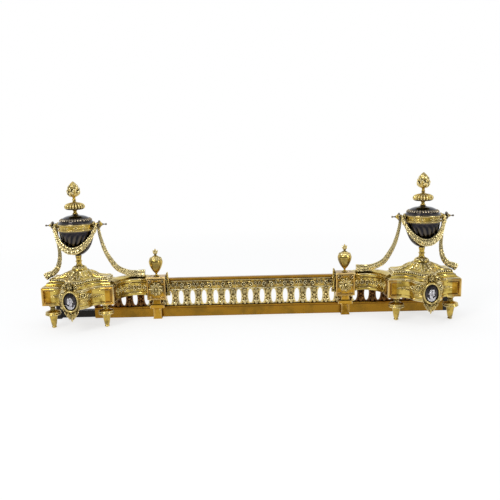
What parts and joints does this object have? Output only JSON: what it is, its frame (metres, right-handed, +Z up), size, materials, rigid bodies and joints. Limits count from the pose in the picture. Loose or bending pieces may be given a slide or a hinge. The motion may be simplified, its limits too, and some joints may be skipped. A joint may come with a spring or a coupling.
{
  "type": "fire fender",
  "caption": "Adjustable brass fire fender: two urn-topped pedestal ends with concave wings and garlands slide out of a long pierced rail.",
  "frame": {"origin": "middle of the bounding box, on the floor", "axes": "+X along the rail to the viewer's right, +Y from the room toward the fire, +Z up"},
  "size_m": [1.15, 0.1878, 0.405],
  "materials": {
    "gilt_brass": "gilded cast brass, burnished on the high spots, with darker hollows",
    "plain_brass": "plain rolled brass, satin and slightly tarnished",
    "rail_brass": "cast brass in relief, darker in the hollows",
    "dark_bronze": "dark brown patina, polished to a shine",
    "cameo_bronze": "dark bronze with a silvery rubbed relief",
    "black_iron": "black painted iron, matt"
  },
  "bodies": {
    "rail": {"plinth_tube": "plain_brass", "gallery": "rail_brass", "frieze": "rail_brass", "top_moulding": "plain_brass"},
    "left_end": {"left_pedestal_shell": "gilt_brass", "left_pedestal_cornice": "gilt_brass", "left_roof_cap": "gilt_brass", "left_urn_socle": "gilt_brass", "left_urn_bowl": "dark_bronze", "left_urn_band": "gilt_brass", "left_urn_lid": "dark_bronze", "left_lid_knop": "gilt_brass", "left_pine_cone": "gilt_brass", "left_tie_rod": "black_iron", "left_outer_boss": "dark_bronze", "left_inner_boss": "dark_bronze", "left_swag": "gilt_brass", "left_outer_drop": "gilt_brass", "left_inner_drop": "gilt_brass", "left_medallion_frame": "gilt_brass", "left_medallion_plaque": "cameo_bronze", "left_outer_spray": "gilt_brass", "left_inner_spray": "gilt_brass", "left_outer_foot": "gilt_brass", "left_inner_foot": "gilt_brass", "left_wing": "gilt_brass", "left_corner_block": "gilt_brass", "left_rosette": "gilt_brass", "left_small_urn": "gilt_brass", "left_block_foot": "gilt_brass", "left_leaf_bracket": "gilt_brass", "left_slide_bar": "black_iron"},
    "right_end": {"right_pedestal_shell": "gilt_brass", "right_pedestal_cornice": "gilt_brass", "right_roof_cap": "gilt_brass", "right_urn_socle": "gilt_brass", "right_urn_bowl": "dark_bronze", "right_urn_band": "gilt_brass", "right_urn_lid": "dark_bronze", "right_lid_knop": "gilt_brass", "right_pine_cone": "gilt_brass", "right_tie_rod": "black_iron", "right_outer_boss": "dark_bronze", "right_inner_boss": "dark_bronze", "right_swag": "gilt_brass", "right_outer_drop": "gilt_brass", "right_inner_drop": "gilt_brass", "right_medallion_frame": "gilt_brass", "right_medallion_plaque": "cameo_bronze", "right_outer_spray": "gilt_brass", "right_inner_spray": "gilt_brass", "right_outer_foot": "gilt_brass", "right_inner_foot": "gilt_brass", "right_wing": "gilt_brass", "right_corner_block": "gilt_brass", "right_rosette": "gilt_brass", "right_small_urn": "gilt_brass", "right_block_foot": "gilt_brass", "right_leaf_bracket": "gilt_brass", "right_slide_bar": "black_iron"}
  },
  "joints": [
    {"name": "left_slide", "type": "slide", "parent": "rail", "child": "left_end", "axis": [-1, 0, 0], "range_m": [-0.099, 0.1]},
    {"name": "right_slide", "type": "slide", "parent": "rail", "child": "right_end", "axis": [1, 0, 0], "range_m": [0, 0.199]}
  ]
}
